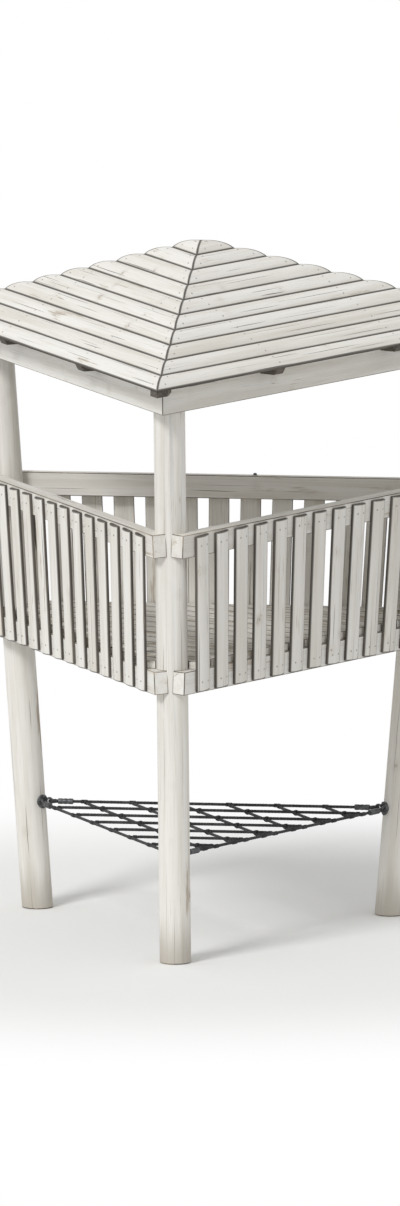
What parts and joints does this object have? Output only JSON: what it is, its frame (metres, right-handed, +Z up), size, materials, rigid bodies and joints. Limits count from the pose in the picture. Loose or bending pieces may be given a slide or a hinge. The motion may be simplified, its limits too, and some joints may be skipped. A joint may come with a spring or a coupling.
{
  "type": "lifeguard tower",
  "caption": "Open timber lookout on leaning round posts, with a triangular railed deck, a boarded pyramid roof and a low rope net between the posts.",
  "frame": {"origin": "on the ground, under the middle of the tower's own box, 0.452 m in front of the point between the posts", "axes": "+Z up; +Y towards the back side, square to it, so that the front post stands towards -Y; +X to the right along the back side"},
  "size_m": [3.1282, 2.7091, 3.5607],
  "materials": {
    "round_timber": "peeled round timber, limewashed and weathered",
    "sawn_timber": "sawn and planed timber, limewashed",
    "log_boards": "round-faced boards, limewashed, with darker weathered edges",
    "deck_planks": "worn limewashed planks",
    "net_rope": "laid black rope",
    "anchor_steel": "dark galvanised steel"
  },
  "bodies": {
    "root": {"post_front": "round_timber", "post_left": "round_timber", "post_right": "round_timber", "bottom_rail_left": "sawn_timber", "bottom_rail_right": "sawn_timber", "bottom_rail_back": "sawn_timber", "top_rail_left": "sawn_timber", "top_rail_right": "sawn_timber", "top_rail_back": "sawn_timber", "pickets_left": "log_boards", "pickets_right": "log_boards", "pickets_back": "log_boards", "deck_joists": "sawn_timber", "deck_boards": "deck_planks", "ring_beam_left": "sawn_timber", "ring_beam_right": "sawn_timber", "ring_beam_back": "sawn_timber", "hip_rafter_front": "sawn_timber", "hip_rafter_left": "sawn_timber", "hip_rafter_right": "sawn_timber", "rafters_left": "sawn_timber", "rafters_right": "sawn_timber", "rafters_back": "sawn_timber", "roof_boards_left": "log_boards", "roof_boards_right": "log_boards", "roof_boards_back": "log_boards", "net_anchor_front": "anchor_steel", "net_anchor_left": "anchor_steel", "net_anchor_right": "anchor_steel", "rope_net": "net_rope"}
  },
  "joints": []
}
